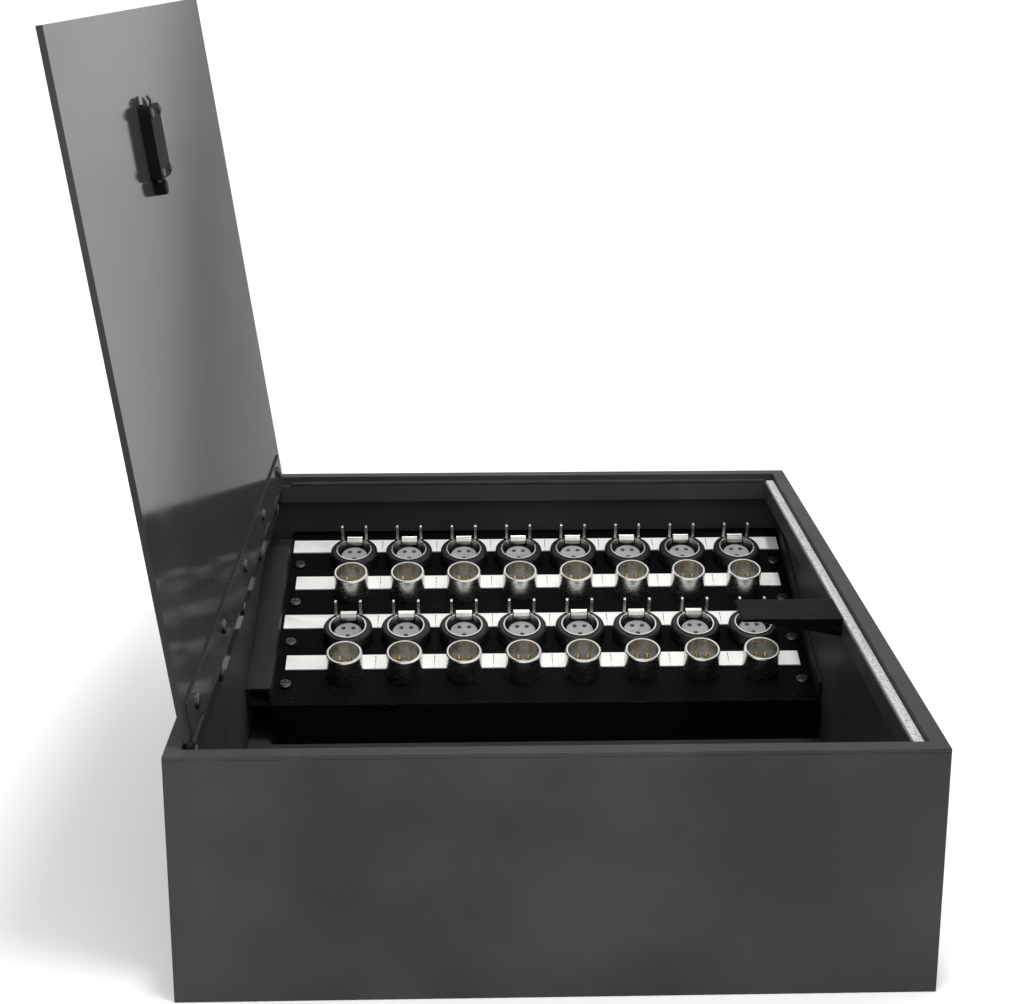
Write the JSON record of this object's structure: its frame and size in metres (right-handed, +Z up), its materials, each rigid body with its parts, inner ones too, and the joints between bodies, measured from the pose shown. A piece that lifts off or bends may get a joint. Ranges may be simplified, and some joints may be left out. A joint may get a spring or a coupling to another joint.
{
  "type": "audio patch bay",
  "caption": "Black steel patch box with a hinged lid; a sloping panel inside carries rows of round panel connectors.",
  "frame": {"origin": "middle of the box's underside", "axes": "+X to the right, away from the hinge; +Y to the back; +Z up"},
  "size_m": [0.3364, 0.385, 0.3802],
  "materials": {
    "box_paint": "semi-gloss black powder coat",
    "lid_paint": "gloss black enamel",
    "panel_paint": "satin black powder coat",
    "bracket_paint": "dark grey paint",
    "gasket_foam": "grey foam",
    "black_rubber": "black rubber",
    "grey_nylon": "grey moulded nylon",
    "blackened_steel": "zinc plated, dark",
    "bright_steel": "bright zinc",
    "nickel": "satin nickel plate",
    "black_plastic": "moulded nylon",
    "label_plastic": "white write-on plastic",
    "contact_metal": "plated brass",
    "board_laminate": "green laminate",
    "terminal_plastic": "green moulded plastic",
    "die_cast_black": "black plated die casting",
    "yellow_brass": "plain brass"
  },
  "bodies": {
    "box": {"box": "box_paint", "rim_frame": "box_paint", "edge_foam": "gasket_foam", "lid_rests": "black_rubber", "hinge_box_leaf": "lid_paint", "hinge_pin": "bright_steel", "hinge_box_screws": "blackened_steel", "strike_bracket": "panel_paint", "strike_screws": "blackened_steel", "connector_panel": "panel_paint", "left_bracket": "bracket_paint", "right_bracket": "bracket_paint", "bracket_screws": "blackened_steel", "panel_screws": "blackened_steel", "write_on_strips": "label_plastic", "female_shells": "die_cast_black", "female_rings": "nickel", "female_inserts": "grey_nylon", "female_contacts": "contact_metal", "tab_guards": "nickel", "female_nuts": "blackened_steel", "male_shells": "nickel", "male_inserts": "grey_nylon", "male_pins": "contact_metal", "male_nuts": "blackened_steel", "backplane_board": "board_laminate", "board_standoffs": "bright_steel", "board_screws": "blackened_steel", "terminal_blocks": "terminal_plastic", "terminal_screws": "bright_steel", "ground_stud": "yellow_brass", "ground_nuts": "yellow_brass", "conduit_bushings": "bright_steel", "bushing_locknuts": "bright_steel"},
    "lid": {"lid": "lid_paint", "hinge_lid_leaf": "lid_paint", "hinge_lid_screws": "blackened_steel", "latch_housing": "black_plastic", "latch_springs": "bright_steel", "latch_screws": "blackened_steel"},
    "bolt": {"latch_bolt": "blackened_steel", "latch_knob": "black_plastic", "latch_slider": "black_plastic"},
    "release_tab_1": {"release_tab_1": "nickel"},
    "release_tab_2": {"release_tab_2": "nickel"},
    "release_tab_3": {"release_tab_3": "nickel"},
    "release_tab_4": {"release_tab_4": "nickel"},
    "release_tab_5": {"release_tab_5": "nickel"},
    "release_tab_6": {"release_tab_6": "nickel"},
    "release_tab_7": {"release_tab_7": "nickel"},
    "release_tab_8": {"release_tab_8": "nickel"},
    "release_tab_9": {"release_tab_9": "nickel"},
    "release_tab_10": {"release_tab_10": "nickel"},
    "release_tab_11": {"release_tab_11": "nickel"},
    "release_tab_12": {"release_tab_12": "nickel"},
    "release_tab_13": {"release_tab_13": "nickel"},
    "release_tab_14": {"release_tab_14": "nickel"},
    "release_tab_15": {"release_tab_15": "nickel"},
    "release_tab_16": {"release_tab_16": "nickel"}
  },
  "joints": [
    {"name": "lid_hinge", "type": "hinge", "parent": "box", "child": "lid", "pos_m": [-0.144, 0, 0.10475], "axis": [0, 1, 0], "range_deg": [0, 98]},
    {"name": "bolt_slide", "type": "slide", "parent": "lid", "child": "bolt", "axis": [0.1392, 0, -0.9903], "range_m": [0, 0.005], "stiffness_N_per_m": 250, "springref_m": -0.004, "deforming": ["latch_springs"]},
    {"name": "release_tab_1_press", "type": "slide", "parent": "box", "child": "release_tab_1", "axis": [0, 0.309, -0.9511], "range_m": [0, 0.0015], "stiffness_N_per_m": 600, "springref_m": -0.001},
    {"name": "release_tab_2_press", "type": "slide", "parent": "box", "child": "release_tab_2", "axis": [0, 0.309, -0.9511], "range_m": [0, 0.0015], "stiffness_N_per_m": 600, "springref_m": -0.001},
    {"name": "release_tab_3_press", "type": "slide", "parent": "box", "child": "release_tab_3", "axis": [0, 0.309, -0.9511], "range_m": [0, 0.0015], "stiffness_N_per_m": 600, "springref_m": -0.001},
    {"name": "release_tab_4_press", "type": "slide", "parent": "box", "child": "release_tab_4", "axis": [0, 0.309, -0.9511], "range_m": [0, 0.0015], "stiffness_N_per_m": 600, "springref_m": -0.001},
    {"name": "release_tab_5_press", "type": "slide", "parent": "box", "child": "release_tab_5", "axis": [0, 0.309, -0.9511], "range_m": [0, 0.0015], "stiffness_N_per_m": 600, "springref_m": -0.001},
    {"name": "release_tab_6_press", "type": "slide", "parent": "box", "child": "release_tab_6", "axis": [0, 0.309, -0.9511], "range_m": [0, 0.0015], "stiffness_N_per_m": 600, "springref_m": -0.001},
    {"name": "release_tab_7_press", "type": "slide", "parent": "box", "child": "release_tab_7", "axis": [0, 0.309, -0.9511], "range_m": [0, 0.0015], "stiffness_N_per_m": 600, "springref_m": -0.001},
    {"name": "release_tab_8_press", "type": "slide", "parent": "box", "child": "release_tab_8", "axis": [0, 0.309, -0.9511], "range_m": [0, 0.0015], "stiffness_N_per_m": 600, "springref_m": -0.001},
    {"name": "release_tab_9_press", "type": "slide", "parent": "box", "child": "release_tab_9", "axis": [0, 0.309, -0.9511], "range_m": [0, 0.0015], "stiffness_N_per_m": 600, "springref_m": -0.001},
    {"name": "release_tab_10_press", "type": "slide", "parent": "box", "child": "release_tab_10", "axis": [0, 0.309, -0.9511], "range_m": [0, 0.0015], "stiffness_N_per_m": 600, "springref_m": -0.001},
    {"name": "release_tab_11_press", "type": "slide", "parent": "box", "child": "release_tab_11", "axis": [0, 0.309, -0.9511], "range_m": [0, 0.0015], "stiffness_N_per_m": 600, "springref_m": -0.001},
    {"name": "release_tab_12_press", "type": "slide", "parent": "box", "child": "release_tab_12", "axis": [0, 0.309, -0.9511], "range_m": [0, 0.0015], "stiffness_N_per_m": 600, "springref_m": -0.001},
    {"name": "release_tab_13_press", "type": "slide", "parent": "box", "child": "release_tab_13", "axis": [0, 0.309, -0.9511], "range_m": [0, 0.0015], "stiffness_N_per_m": 600, "springref_m": -0.001},
    {"name": "release_tab_14_press", "type": "slide", "parent": "box", "child": "release_tab_14", "axis": [0, 0.309, -0.9511], "range_m": [0, 0.0015], "stiffness_N_per_m": 600, "springref_m": -0.001},
    {"name": "release_tab_15_press", "type": "slide", "parent": "box", "child": "release_tab_15", "axis": [0, 0.309, -0.9511], "range_m": [0, 0.0015], "stiffness_N_per_m": 600, "springref_m": -0.001},
    {"name": "release_tab_16_press", "type": "slide", "parent": "box", "child": "release_tab_16", "axis": [0, 0.309, -0.9511], "range_m": [0, 0.0015], "stiffness_N_per_m": 600, "springref_m": -0.001}
  ]
}
